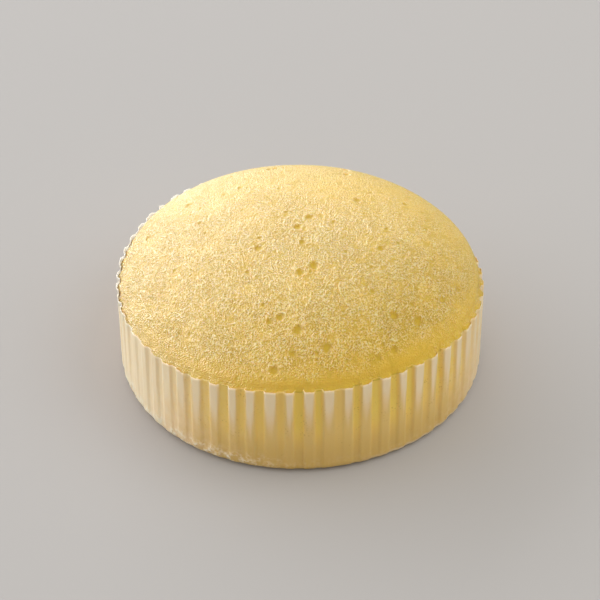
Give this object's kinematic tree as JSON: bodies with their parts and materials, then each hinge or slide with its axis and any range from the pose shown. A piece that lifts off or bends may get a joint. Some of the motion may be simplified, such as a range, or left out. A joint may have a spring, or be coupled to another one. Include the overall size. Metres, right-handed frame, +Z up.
{
  "type": "steamed egg cake in a paper case",
  "caption": "Round steamed sponge cake with a pitted dome that has risen over the rim of its pleated greaseproof paper case.",
  "frame": {"origin": "centre of the paper case's flat underside", "axes": "+Z up out of the dome, -Y towards the front that the picture shows, +X to the right of that view"},
  "size_m": [0.1, 0.0977, 0.0444],
  "materials": {
    "sponge": "soft matt pale yellow sponge with a fine open crumb",
    "case_paper": "translucent greased white paper, tinted by the sponge behind it"
  },
  "bodies": {
    "root": {"cake": "sponge", "paper_case": "case_paper"}
  },
  "joints": []
}
